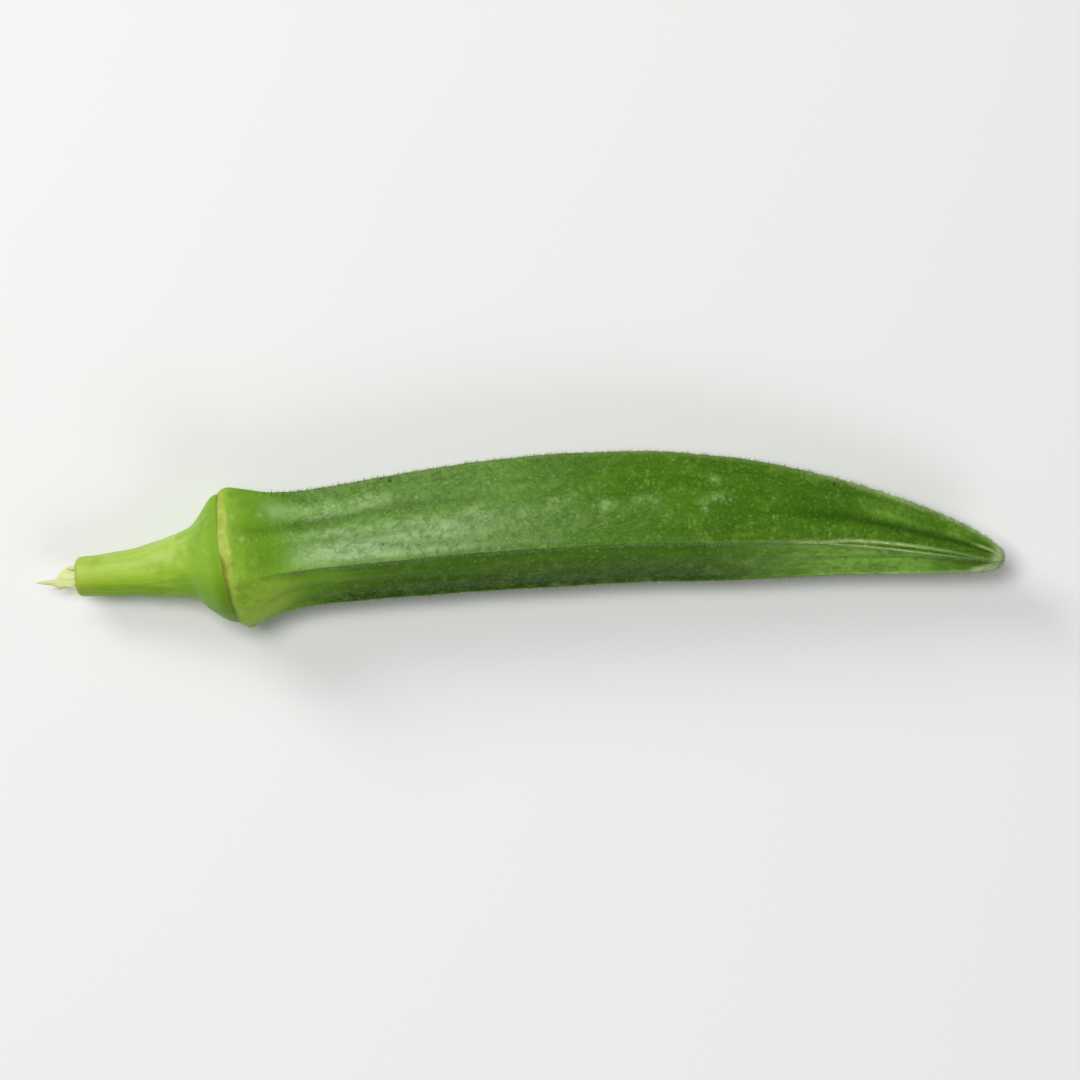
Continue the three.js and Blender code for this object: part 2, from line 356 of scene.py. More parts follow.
def make_piece(name, points, faces, values=None):
    """A smooth mesh object from points in millimetres from the scar ring, with its values."""
    mesh = bpy.data.meshes.new(name)
    points = points.reshape(-1, 3) - np.array([*FOOTPRINT_MIDDLE, 0])
    corners = faces.shape[1]
    mesh.vertices.add(len(points))
    mesh.vertices.foreach_set("co", (points * MM).astype(np.float32).ravel())
    mesh.loops.add(faces.size)
    mesh.loops.foreach_set("vertex_index", faces.astype(np.int32).ravel())
    mesh.polygons.add(len(faces))
    mesh.polygons.foreach_set("loop_start", np.arange(0, faces.size, corners, dtype=np.int32))
    mesh.polygons.foreach_set("use_smooth", np.ones(len(faces), bool))
    mesh.update(calc_edges=True)
    for key, value in (values or {}).items():
        attribute = mesh.attributes.new(key, "FLOAT", "POINT")
        attribute.data.foreach_set("value", value.astype(np.float32).ravel())
    piece = bpy.data.objects.new(name, mesh)
    bpy.context.scene.collection.objects.link(piece)
    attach(piece, BODY)
    return piece


def skin_faces(rows, columns):
    """Triangles of a closed skin: the grid, and a fan to one more point at either end."""
    row, column = np.meshgrid(np.arange(rows - 1), np.arange(columns), indexing="ij")
    across = (column + 1) % columns
    near, near_across = row * columns + column, row * columns + across
    far, far_across = near + columns, near_across + columns
    one = np.stack([near, near_across, far_across], -1).reshape(-1, 3)
    two = np.stack([near, far_across, far], -1).reshape(-1, 3)
    rim = np.arange(columns)
    rim_next = (rim + 1) % columns
    start, end = rows * columns, rows * columns + 1
    last = (rows - 1) * columns
    first_fan = np.stack([np.full(columns, start), rim_next, rim], -1)
    last_fan = np.stack([np.full(columns, end), last + rim, last + rim_next], -1)
    return np.concatenate([one, two, first_fan, last_fan])


def with_ends(grid):
    """The grid's points or values, with the mean of the first and of the last row added."""
    flat = grid.reshape(grid.shape[0] * grid.shape[1], -1)
    return np.concatenate([flat, grid[0].reshape(grid.shape[1], -1).mean(0)[None],
                           grid[-1].reshape(grid.shape[1], -1).mean(0)[None]])


def make_skin(name, grid, values):
    """A closed skin piece from a grid of points, with a grid of each value."""
    faces = skin_faces(*grid.shape[:2])
    ended = {key: with_ends(value) for key, value in values.items()}
    return make_piece(name, with_ends(grid), faces, ended)


# Materials


def srgb(red, green, blue):
    """A colour given as 0 to 255 on screen, as the shader wants it."""
    channels = [c / 255 for c in (red, green, blue)]
    linear = [c / 12.92 if c <= 0.04045 else ((c + 0.055) / 1.055) ** 2.4 for c in channels]
    return (*linear, 1.0)


class Shade:
    """One output of a material's node. Arithmetic on it adds Math nodes."""

    def __init__(self, finish, socket):
        self.finish = finish
        self.socket = socket

    def maths(self, operation, *values):
        return self.finish.node("ShaderNodeMath", {"operation": operation}, dict(enumerate(values)))

    def __add__(self, other):
        return self.maths("ADD", self, other)

    def __radd__(self, other):
        return self.maths("ADD", other, self)

    def __sub__(self, other):
        return self.maths("SUBTRACT", self, other)

    def __rsub__(self, other):
        return self.maths("SUBTRACT", other, self)

    def __mul__(self, other):
        return self.maths("MULTIPLY", self, other)

    def __rmul__(self, other):
        return self.maths("MULTIPLY", other, self)


class Finish:
    """A material under construction, around one Principled shader."""

    COLOUR_FACTOR, COLOUR_A, COLOUR_B, COLOUR_OUT = 0, 6, 7, 2
    ATTRIBUTE_VALUE = 2

    def __init__(self, name, constants):
        self.material = bpy.data.materials.new(name)
        self.material.use_nodes = True
        self.tree = self.material.node_tree
        self.shader = self.tree.nodes["Principled BSDF"]
        for socket, value in constants.items():
            self.shader.inputs[socket].default_value = value

    def set(self, socket, value):
        if isinstance(value, Shade):
            self.tree.links.new(value.socket, socket)
        else:
            socket.default_value = value

    def node(self, kind, settings=None, inputs=None, output=0):
        """A node of any kind: its settings first, then the values or links of its sockets."""
        node = self.tree.nodes.new(kind)
        for key, value in (settings or {}).items():
            setattr(node, key, value)
        for key, value in (inputs or {}).items():
            self.set(node.inputs[key], value)
        return Shade(self, node.outputs[output])

    def value(self, name):
        """A value that the mesh carries."""
        settings = {"attribute_name": name}
        return self.node("ShaderNodeAttribute", settings, output=self.ATTRIBUTE_VALUE)

    def place(self):
        """The point on the piece, in metres."""
        return self.node("ShaderNodeTexCoord", output="Object")

    def vector(self, x, y, z):
        return self.node("ShaderNodeCombineXYZ", None, {"X": x, "Y": y, "Z": z})

    def noise(self, vector, scale, detail=2.0, roughness=0.5):
        inputs = {"Vector": vector, "Scale": scale, "Detail": detail, "Roughness": roughness}
        return self.node("ShaderNodeTexNoise", None, inputs)

    def cells(self, vector, scale, output="Distance"):
        return self.node("ShaderNodeTexVoronoi", None, {"Vector": vector, "Scale": scale}, output)

    def ease(self, value, low, high, to_low=0.0, to_high=1.0):
        """The value eased from to_low at low to to_high at high, and held beyond them."""
        inputs = {"Value": value, "From Min": low, "From Max": high}
        inputs |= {"To Min": to_low, "To Max": to_high}
        return self.node("ShaderNodeMapRange", {"interpolation_type": "SMOOTHSTEP"}, inputs)

    def crease(self, value, width):
        """Thin lines where the value passes its middle."""
        from_middle = value - 0.5
        return 1.0 - self.ease(from_middle.maths("ABSOLUTE", from_middle), 0.0, width)

    def mix(self, first, second, share):
        inputs = {self.COLOUR_FACTOR: share, self.COLOUR_A: first, self.COLOUR_B: second}
        return self.node("ShaderNodeMix", {"data_type": "RGBA"}, inputs, self.COLOUR_OUT)

    def bump(self, heights, distance, strength=1.0):
        inputs = {"Height": heights, "Distance": distance, "Strength": strength}
        return self.node("ShaderNodeBump", None, inputs)

    def done(self, **channels):
        """The finished material, with these channels of its shader."""
        for name, value in channels.items():
            self.set(self.shader.inputs[name.replace("_", " ")], value)
        return self.material


# Colours of the capsule: its flesh, its markings and its scar ring.
FLESH = srgb(64, 104, 14)
LIGHT_FLESH = srgb(76, 116, 20)
DEEP_FLESH = srgb(54, 94, 12)
# Ripe yellow-greens; on the side wall they partly stand for painted light.
RIPE_AND_SIDE_LIT_GREEN = srgb(114, 158, 40)
YELLOW_FLESH = srgb(150, 184, 62)
RIPE_PATCH = srgb(86, 130, 16)
# Brighter green of the painted bounce light and of the bright patches.
BOUNCE_LIT_AND_BRIGHT_GREEN = srgb(142, 194, 78)
# Dark green of the painted shade on the side wall.
SHADED_FLESH = srgb(30, 64, 0)
# Pale waxy green of the painted highlight.
HIGHLIGHT_GREEN = srgb(140, 174, 104)
PALE_MOTTLE = srgb(110, 148, 54)
VEIN = srgb(46, 84, 10)
PALE_GRAIN = srgb(140, 170, 84)
FRECKLE = srgb(158, 190, 104)
# Dark green of the painted shade along the groove.
GROOVE_SHADE_GREEN = srgb(38, 74, 6)
DARK_SPOT = srgb(44, 56, 14)
SCUFF = srgb(168, 198, 128)
RIB_PALE = srgb(120, 148, 78)
RIB_PALE_TIP = srgb(184, 210, 136)
FRAYED_FIBRE = srgb(188, 208, 150)
# Brownish seam behind the ring, partly a real edge line and partly painted shade in the valley
# there.
SEAM_BROWN = srgb(118, 116, 50)
SEAM_GREEN = srgb(92, 122, 26)
CORK = srgb(162, 178, 78)
CORK_GREEN = srgb(148, 168, 60)
CORK_PALE = srgb(192, 198, 120)
CORK_BROWN = srgb(154, 134, 76)
CORK_FAINT = srgb(134, 168, 56)
PALE_TIP = (66.0, 82.0)

# Colours of the stalk, its cap and its cut end.
STALK = srgb(146, 178, 52)
CAP = srgb(128, 168, 46)
# Painted highlight of the stalk, and the deeper green of its painted shade and of a spot before the
# cap.
STALK_SHEEN_PAINT = srgb(176, 202, 106)
STALK_SHADE_AND_SPOT_GREEN = srgb(104, 150, 26)
STALK_STREAK = srgb(176, 196, 86)
STALK_CLOUD = srgb(96, 138, 22)
STALK_THREAD = srgb(190, 206, 118)
STALK_BLOTCH = srgb(176, 200, 104)
CUT_YELLOW = srgb(168, 176, 72)
CAP_SEAM = srgb(92, 126, 26)
DRY_RIM = srgb(150, 128, 78)
PITH = srgb(206, 214, 150)
PITH_GRAIN = srgb(158, 160, 92)

# Colours of the torn bark, the hairs and the floor.
BARK_BELOW = srgb(176, 170, 100)
BARK_ABOVE = srgb(206, 214, 150)
BARK_THREAD = srgb(164, 146, 90)
HAIR_ROOT = srgb(92, 128, 46)
HAIR_END = srgb(164, 186, 122)
FLOOR = srgb(224, 224, 222)
FLOOR_PATCH = srgb(230, 230, 229)

SKIN_CONSTANTS = {
    "Specular IOR Level": 0.05,
    "Specular Tint": (0.8, 1.0, 0.5, 1.0),
    "Coat Roughness": 0.4,
    "Coat Tint": (0.97, 1.0, 0.94, 1.0),
    "Subsurface Weight": 0.1,
    "Subsurface Radius": (0.5, 1.0, 0.15),
    "Subsurface Scale": 0.001,
    "Sheen Weight": 0.04,
    "Sheen Roughness": 0.4,
    "Sheen Tint": (0.8, 1.0, 0.6, 1.0),
}
BARK_CONSTANTS = {
    "Specular IOR Level": 0.3,
    "Subsurface Weight": 0.25,
    "Subsurface Scale": 0.0008,
}


def pod_finish():
    """Green capsule skin: yellow at the shoulder, pale on the ribs, netted, specked, fuzzy."""
    skin = Finish("pod_skin", SKIN_CONSTANTS)
    along, around = skin.value("along"), skin.value("around")
    groove, ridge, painted_highlight, ripe_and_side_lit = (skin.value(key) for key in ("groove", "ridge", "painted_highlight", "ripe_and_side_lit"))
    bounce_lit_and_bright, shade, scuff, frayed = (skin.value(key) for key in ("bounce_lit_and_bright", "shade", "scuff", "frayed"))
    place = skin.place()
    strands = skin.vector(along * 0.11, around, 0.0)
    streaks = skin.noise(strands, 0.9, 3.0)
    fine_streaks = skin.noise(strands, 4.5, 2.0)
    clouds = skin.noise(place, 130.0, 3.0)
    mottle = skin.noise(place, 620.0, 3.0, 0.65)
    grains = skin.noise(place, 2200.0, 2.0)
    slanted = skin.vector(along * 0.4 + around * 0.25, around * 0.6 - along * 0.2, 0.0)
    crossed = skin.vector(along * 0.5 - around * 0.3, around * 0.7 + along * 0.25, 9.0)
    net = skin.crease(skin.noise(slanted, 1.0, 3.0, 0.6), 0.07) * 0.55
    net = net + skin.crease(skin.noise(crossed, 1.0, 3.0, 0.6), 0.07) * 0.45
    net = net * skin.ease(ripe_and_side_lit, 1.0, 0.2, 0.15, 1.0)
    tip_ward = skin.ease(along, *PALE_TIP)

    # Green flesh, riper and yellower at the shoulder; on the side wall this yellow-green is partly
    # painted light.
    flesh = skin.mix(FLESH, LIGHT_FLESH, skin.ease(streaks, 0.35, 0.7))
    flesh = skin.mix(flesh, DEEP_FLESH, skin.ease(clouds, 0.42, 0.7) * 0.5)
    ripe_tone_and_side_light = ripe_and_side_lit + (streaks - 0.5) * 0.4 + (clouds - 0.5) * 0.6
    flesh = skin.mix(flesh, RIPE_AND_SIDE_LIT_GREEN, skin.ease(ripe_tone_and_side_light, 0.1, 0.9) * 0.85)
    flesh = skin.mix(flesh, YELLOW_FLESH, skin.ease(ripe_tone_and_side_light, 1.0, 1.8) * 0.85)
    patches = skin.ease(ripe_and_side_lit, 0.5, 1.2) * skin.ease(clouds + mottle, 0.95, 1.2)
    flesh = skin.mix(flesh, RIPE_PATCH, patches * 0.4)

    # Painted bounce light and bright patches, painted shade, a painted highlight as pale waxy
    # colour, the net of veins, and grains.
    # Painted bounce light on the side wall towards the tip, and bright patches on the upper wall.
    crumbled = skin.ease(streaks * 0.5 + mottle * 1.3, 0.65, 1.15, 0.35, 1.0)
    flesh = skin.mix(flesh, BOUNCE_LIT_AND_BRIGHT_GREEN, bounce_lit_and_bright * crumbled)
    # Painted shade low on the side wall.
    dappled = skin.ease(mottle + clouds * 0.5, 0.6, 0.95, 0.95, 0.6)
    flesh = skin.mix(flesh, SHADED_FLESH, shade * dappled)
    # Painted highlight on the upper wall, as pale waxy colour.
    highlight_share = painted_highlight * skin.ease(mottle + clouds * 0.5 - net * 0.3, 0.35, 0.85, 0.5, 1.0)
    flesh = skin.mix(flesh, HIGHLIGHT_GREEN, highlight_share * 0.75)
    flesh = skin.mix(flesh, PALE_MOTTLE, skin.ease(mottle, 0.5, 0.7) * 0.4)
    flesh = skin.mix(flesh, VEIN, net * 0.22)
    flesh = skin.mix(flesh, PALE_GRAIN, skin.ease(grains, 0.56, 0.72) * 0.3)

    # Pale freckles, painted shade along the groove, dark spots and pale scuffs.
    freckle = 1.0 - skin.ease(skin.cells(place, 1100.0), 0.14, 0.36)
    freckle = freckle * skin.ease(skin.noise(place, 420.0, 1.0), 0.48, 0.6)
    flesh = skin.mix(flesh, FRECKLE, freckle * (0.22 + 0.45 * bounce_lit_and_bright))
    groove_shading = groove * (0.15 + 0.3 * fine_streaks + 0.5 * tip_ward)
    flesh = skin.mix(flesh, GROOVE_SHADE_GREEN, groove_shading)
    spot = 1.0 - skin.ease(skin.cells(place, 230.0) + (grains - 0.5) * 0.06, 0.04, 0.09)
    flesh = skin.mix(flesh, DARK_SPOT, spot * skin.ease(clouds, 0.48, 0.58) * 0.8)
    scuffed = scuff * skin.ease(mottle - net * 0.2, 0.3, 0.65, 0.2, 1.0)
    flesh = skin.mix(flesh, SCUFF, scuffed * (0.45 + 0.4 * skin.ease(ripe_and_side_lit, 0.2, 1.0)))

    # Worn, pale ribs, and the frayed tip.
    worn = skin.ease(fine_streaks + grains * 0.6, 0.4, 0.9, 0.35, 1.0)
    flesh = skin.mix(flesh, skin.mix(RIB_PALE, RIB_PALE_TIP, tip_ward), ridge * worn)
    tufted = frayed * skin.ease(fine_streaks, 0.3, 0.6, 0.35, 1.0)
    flesh = skin.mix(flesh, FRAYED_FIBRE, tufted)

    # The corky scar ring.
    scar, seam, faint = (skin.value(key) for key in ("scar", "seam", "faint"))
    lumps = skin.noise(place, 900.0, 3.0)
    # The seam behind the scar ring: partly a real brownish edge line, partly painted shade in the
    # valley there.
    flesh = skin.mix(flesh, skin.mix(SEAM_BROWN, SEAM_GREEN, faint), seam * 0.85)
    cork = skin.mix(CORK, CORK_GREEN, skin.ease(clouds, 0.4, 0.62))
    cork = skin.mix(cork, CORK_PALE, skin.ease(lumps, 0.5, 0.68) * 0.6)
    cork = skin.mix(cork, CORK_BROWN, skin.ease(lumps + mottle, 1.02, 1.25) * 0.6)
    cork = skin.mix(cork, CORK_FAINT, faint * 0.8)
    flesh = skin.mix(flesh, cork, scar * skin.ease(lumps, 0.25, 0.5, 0.6, 1.0))

    relief = skin.noise(slanted, 1.6, 4.0, 0.55) * 1.2 - net * 0.6 + fine_streaks * 0.25
    relief = relief + grains * 0.25 + mottle * 0.35 + freckle * 0.3
    relief = relief + scar * lumps * 0.8
    gloss = 0.34 + 0.12 * skin.noise(place, 420.0, 2.0)
    gloss = gloss + 0.08 * skin.ease(ripe_tone_and_side_light, 0.1, 0.9) + 0.2 * scar
    wax = 0.04 + 0.6 * highlight_share + 0.3 * scuffed
    bump = skin.bump(relief, 0.00018, 0.8)
    return skin.done(Base_Color=flesh, Roughness=gloss, Coat_Weight=wax, Normal=bump)


def stem_finish():
    """Smooth yellow-green stalk and cap, with a painted highlight along the stalk and painted shade
    below, and a dry, cut end.
    """
    skin = Finish("stem_skin", {**SKIN_CONSTANTS, "Subsurface Weight": 0.2, "Sheen Weight": 0.06})
    along, around, cut = skin.value("along"), skin.value("around"), skin.value("cut")
    pale, stalk_shade_and_spot = skin.value("pale"), skin.value("stalk_shade_and_spot")
    place = skin.place()
    strands = skin.vector(along * 0.16, around, 0.0)
    streaks = skin.noise(strands, 1.3, 3.0)
    fine_streaks = skin.noise(strands, 5.0, 2.0)
    clouds = skin.noise(place, 260.0, 2.0)
    blotches = skin.noise(place, 700.0, 3.0, 0.6)
    grains = skin.noise(place, 1800.0, 2.0)

    cap = skin.ease(along + (clouds - 0.5) * 3.0, -8.0, -1.5)
    stalk = 1.0 - cap
    flesh = skin.mix(STALK, CAP, cap)
    # Painted highlight along the stalk's upper back and on the cap.
    stalk_sheen_share = pale * skin.ease(streaks + blotches, 0.7, 1.2, 0.2, 0.55)
    flesh = skin.mix(flesh, STALK_SHEEN_PAINT, stalk_sheen_share)
    # Painted shade on the lower front, and a deeper green spot before the cap.
    flesh = skin.mix(flesh, STALK_SHADE_AND_SPOT_GREEN, stalk_shade_and_spot * 0.75)
    flesh = skin.mix(flesh, STALK_STREAK, skin.ease(streaks, 0.45, 0.7) * stalk * 0.35)
    flesh = skin.mix(flesh, STALK_CLOUD, skin.ease(clouds, 0.5, 0.7) * 0.35)
    flesh = skin.mix(flesh, STALK_THREAD, skin.ease(fine_streaks, 0.58, 0.8) * stalk * 0.3)
    flesh = skin.mix(flesh, STALK_BLOTCH, skin.ease(blotches, 0.52, 0.72) * (0.1 + 0.2 * cap))
    flesh = skin.mix(flesh, CUT_YELLOW, skin.ease(along + clouds * 3.0, -13.0, -18.0) * 0.4)
    seam = skin.ease(along + (blotches - 0.5) * 0.8, -1.6, -0.3)
    flesh = skin.mix(flesh, CAP_SEAM, seam * (0.3 + 0.4 * stalk_shade_and_spot))
    dry_rim = skin.ease(along, -18.9, -19.25) * (1.0 - cut)
    flesh = skin.mix(flesh, DRY_RIM, dry_rim * 0.6)
    flesh = skin.mix(flesh, skin.mix(PITH, PITH_GRAIN, skin.ease(grains, 0.4, 0.65)), cut)

    relief = streaks * 0.4 + fine_streaks * stalk * 0.3 + blotches * 0.5
    relief = relief + grains * (0.12 + 0.6 * cut)
    gloss = 0.34 + 0.14 * clouds + 0.25 * cut
    wax = 0.1 + 0.3 * pale
    bump = skin.bump(relief, 0.00008, 0.7)
    return skin.done(Base_Color=flesh, Roughness=gloss, Coat_Weight=wax, Normal=bump)


def bark_finish():
    """Torn, drying fibre: cream on top and duller below, as painted light."""
    fibre = Finish("torn_bark", BARK_CONSTANTS)
    lit, place = fibre.value("lit"), fibre.place()
    drawn_out = {"Vector": place, "Scale": (350.0, 2600.0, 2600.0)}
    strands = fibre.node("ShaderNodeMapping", None, drawn_out)
    threads = fibre.noise(strands, 1.0, 2.0)
    tone = fibre.mix(BARK_BELOW, BARK_ABOVE, fibre.ease(lit, 0.2, 0.75))
    tone = fibre.mix(tone, BARK_THREAD, fibre.ease(threads, 0.5, 0.75) * 0.35)
    bump = fibre.bump(threads, 0.00016)
    return fibre.done(Base_Color=tone, Roughness=0.62 + 0.1 * threads, Normal=bump)


def hair_finish():
    """Short stiff hairs, greener at the root."""
    hair = Finish("pod_hair", {"Specular IOR Level": 0.4, "Subsurface Weight": 0.0})
    length, place = hair.value("length"), hair.place()
    tone = hair.mix(HAIR_ROOT, HAIR_END, hair.ease(length, 0.0, 0.8))
    greener = hair.ease(hair.noise(place, 300.0, 1.0), 0.45, 0.65) * 0.4
    tone = hair.mix(tone, HAIR_ROOT, greener)
    return hair.done(Base_Color=tone, Roughness=0.5 + 0.1 * length)


# The capsule


def ribbed_wall(along, angle, wall, place, span):
    """How far the capsule's wall stands from its middle line, and where its markings are."""
    row = along[:, None]
    reach = pod_reach(row)
    relief = np.minimum(1, reach / FULL_RELIEF_REACH)
    width = span * reach
    next_wall = (wall + 1) % len(WALL_ROUNDNESS)
    nearest = np.broadcast_to(np.where(place < 0.5, wall, next_wall), angle.shape)
    from_rib = np.minimum(place, 1 - place) * width
    split = np.where(nearest == TOP_RIB, rib_split(row), 0)
    narrowing = 1 - SPLIT_NARROWING * (split > SPLIT_START)
    crest_width = CREST_WIDTH * narrowing * np.sqrt(relief)
    crest = bell((from_rib - split) / crest_width) * smooth(row, *CREST_RISE)
    beads = waver(np.stack(np.broadcast_arrays(row, nearest * 9.0, 0.0), -1), BEAD_SIZE, 1)
    hollow = bell((from_rib / relief - HOLLOW_PLACE) / HOLLOW_WIDTH)
    groove_place = np.where(wall == 0, upper_groove(row), GROOVE_MIDDLE)
    from_groove = np.abs(place - groove_place) * width / relief
    groove = bell(from_groove / GROOVE_WIDTH)
    short_rib = stretch(row, *SHORT_RIB)
    short_rib = short_rib * bell((place - SHORT_RIB_PLACE) * width / SHORT_RIB_WIDTH) * (wall == 0)

    chord = np.cos(span / 2) / np.cos((place - 0.5) * span)
    shoulder = 1 - smooth(row, *SHOULDER_FADE)
    roundness = WALL_ROUNDNESS[wall] + SHOULDER_ROUNDING[wall] * shoulder - wall_sink(row)
    crest_height = CREST_HEIGHT * (1 + BEAD_HEIGHT * beads)
    distance = reach * (chord + roundness * (1 - chord)) + SHORT_RIB_HEIGHT * short_rib + relief * (
        crest * crest_height - hollow * HOLLOW_DEPTH - groove * groove_depth(row)
    )
    scar, seam, faint = scar_ring(row, angle)
    distance = distance + SCAR_HEIGHT * scar
    paleness = np.take_along_axis(np.stack([pale(along) for pale in rib_paleness], -1), nearest, 1)
    # Painted shade along the groove, weaker on the side wall.
    groove_shade = bell(from_groove / GROOVE_SHADE_WIDTH) * smooth(groove_depth(row), 0.04, 0.2)
    groove_shade = groove_shade * np.where(wall == 1, SIDE_GROOVE_SHADE, 1)
    # Painted shade, darker below on the side wall.
    side_shade = smooth(place, *SHADE_ACROSS) * stretch(row, SHADE_GROWS, SHADE_FADES)
    return distance, {
        "crest": crest,
        "ridge": np.maximum(crest ** 1.6 * paleness, SHORT_RIB_PALENESS * short_rib),
        "groove": groove_shade,
        "scar": scar,
        "seam": seam,
        "faint": faint,
        "painted_highlight": upper_highlight(row, wall, place),
        "ripe_and_side_lit": across_walls(ripeness_and_side_light, along, wall, place),
        "bounce_lit_and_bright": bounce_light_and_bright_patches(row, wall, place),
        "shade": (wall == 1) * side_shade,
        "scuff": np.where(wall == 0, scuffs(row, place, width), 0),
        "frayed": smooth(row + FRAYED_SOONER * (wall == 1) * smooth(place, 0.4, 1), *FRAYED),
    }


def scar_ring(row, angle):
    """Where the scar ring is, the seam behind it, and how faint it is on this side."""
    degrees = np.degrees(angle)
    degrees = np.where(degrees > SCAR_LAST_DEGREE, degrees - 360, degrees)
    rim = SCAR_RIM * np.stack([0 * angle, np.cos(angle), np.sin(angle)], -1)
    start = row - through(SCAR_START)(degrees) - uneven(rim, SCAR_START_WANDER)
    end = row - through(SCAR_END)(degrees) - uneven(rim, SCAR_END_WANDER)
    scar = smooth(start, -0.1, 0.3) * (1 - smooth(end, -0.4, 0.15))
    seam = 1 - smooth(start, -0.2, 0.25)
    return scar, seam, smooth(degrees, *SCAR_FADE) * (row < SCAR_SHOULDER)


def bounce_light_and_bright_patches(row, wall, place):
    """Painted bounce light as brighter green on the side wall towards the tip, and brighter patches
    on the upper wall.
    """
    side = (wall == 1) * stretch(row, BOUNCE_LIGHT_GROWS, BOUNCE_LIGHT_FADES) * smooth(place, 0, 0.1)
    patches = [
        peak(row, at, half_length) * peak(place, across, BRIGHT_PATCH_WIDTH)
        for at, across, half_length in BRIGHT_PATCHES
    ]
    return side + (wall == 0) * BRIGHT_PATCH_SHARE * np.max(patches, axis=0)


def upper_highlight(row, wall, place):
    """Painted highlight on the upper wall: a band beside the top rib, a strip near the outer rib, a
    veil.
    """
    near = 1 - smooth(row, *NEAR_SHOULDER)
    band = smooth(place, *BAND_GROWS) * (1 - BAND_WEAKENING * smooth(place, *BAND_WEAKENS))
    band = band * (1 - BAND_LINE_SHARE * near * peak(place, *BAND_LINE))
    strip = STRIP_SHARE * peak(place, *STRIP) * smooth(row, *STRIP_GROWS) * near
    veil = VEIL_SHARE * stretch(row, VEIL_GROWS, VEIL_FADES)
    return (wall == 0) * np.maximum(band * highlight_along(row) + strip, veil)


def scuffs(row, place, width):
    """How scuffed the upper wall is."""
    marks = [
        peak(row, at, half_length) * bell((place - across) * width / half_width)
        for at, across, half_length, half_width in SCUFFS
    ]
    return np.max(marks, axis=0)


def way_round(points):
    """How far round its row each point lies, as a length on a row of the average girth."""
    steps = np.linalg.norm(np.roll(points, -1, axis=1) - points, axis=-1)
    girth = steps.sum(axis=1, keepdims=True)
    return (np.cumsum(steps, axis=1) - steps) / girth * girth.mean()


def rows_between(start, end, count, crowded):
    """Distances from start to end, closer together round the crowded places."""
    even = np.linspace(start, end, FINE_STEPS)
    crowding = 1 + sum(CROWDING * peak(even, place, width) for place, width in crowded)
    share = np.cumsum(crowding)
    return np.interp(np.linspace(share[0], share[-1], count), share, even)


def pod_grid():
    """The capsule's skin as a grid of points, and its traits."""
    along = rows_between(POD_START, POD_END, POD_ROWS, POD_CROWDED)
    angle, wall, place, span = wall_grid(along, POD_COLUMNS)
    distance, traits = ribbed_wall(along, angle, wall, place, span)
    smooth_points = grid_points(along, angle, distance)
    calm = 1 - CALM_SHARE * smooth(along, *CALM_TIP)[:, None]
    distance = distance + calm * uneven(smooth_points, POD_SWELLS)
    points = rest_on_floor(grid_points(along, angle, distance))
    values = {
        "along": np.broadcast_to(along[:, None], distance.shape),
        "around": way_round(points),
        **traits,
    }
    return points, values


def tip_rows(points, values):
    """Closes the blunt tip with two smaller rows beyond the last."""
    middle = points[-1].mean(0)
    ahead = middle - points[-8].mean(0)
    ahead = ahead / np.linalg.norm(ahead)
    rows = [
        points[-1] + (middle - points[-1]) * share + ahead * push for share, push in TIP_CLOSING
    ]
    points = np.concatenate([points, np.array(rows)])
    values = {key: np.concatenate([value, value[-1:], value[-1:]]) for key, value in values.items()}
    return points, values


# The stalk

# Painted light and shade on the stalk: a painted highlight along its upper back, and painted shade,
# deeper green, on its lower front;
# also a deeper green spot before the cap: stretches of distance along it, and of degrees from
# straight up.
PALE_LEAST = 0.7
PALE_GROWS = (-12, -8)
PALE_FADES = (-6.5, -2.5)
PALE_ROUND = ((-120, -60), (-16, 16))
STALK_SHADE_ROUND = ((8, 40), (110, 170))
DEEP_SPOT_ALONG = (-5.4, 2.2)
DEEP_SPOT_ROUND = (30, 16)
# The cut face: the rows of it by their share of the rim, its roughness and its bulge.
CUT_SHARES = (0.06, 0.3, 0.55, 0.78, 0.93, 1.0)
CUT_ROUGHNESS = 0.1
CUT_BULGE = 0.12


def stem_grid():
    """The skin of the stalk and its cap as a grid of points, and its traits."""
    along = rows_between(CUT_END, CAP_END, STEM_ROWS, STEM_CROWDED)
    angle, wall, place, span = wall_grid(along, STEM_COLUMNS)
    cap = smooth(along, -CAP_LENGTH, 0)[:, None]
    roundness = 1 + (WALL_ROUNDNESS[wall] + SHOULDER_ROUNDING[wall] - 1) * cap
    chord = np.cos(span / 2) / np.cos((place - 0.5) * span)
    reach = stem_reach(along)[:, None] * (chord + roundness * (1 - chord))
    points = grid_points(along, angle, reach)
    reach = reach + uneven(points, STEM_SWELLS)
    points = rest_on_floor(grid_points(along, angle, reach))
    row = along[:, None]
    degrees = np.degrees(angle)
    degrees = np.where(degrees > 180, degrees - 360, degrees)
    pale = PALE_LEAST + (1 - PALE_LEAST) * smooth(row, *PALE_GROWS)
    pale = pale * (1 - smooth(row, *PALE_FADES)) * stretch(degrees, *PALE_ROUND)
    stalk_shade_and_spot = stretch(degrees, *STALK_SHADE_ROUND)
    stalk_shade_and_spot = np.maximum(stalk_shade_and_spot, peak(row, *DEEP_SPOT_ALONG) * peak(degrees, *DEEP_SPOT_ROUND))
    values = {
        "along": np.broadcast_to(row, reach.shape),
        "around": way_round(points),
        "cut": np.zeros_like(reach),
        "pale": pale,
        "stalk_shade_and_spot": stalk_shade_and_spot,
    }
    return cut_rows(points, values)


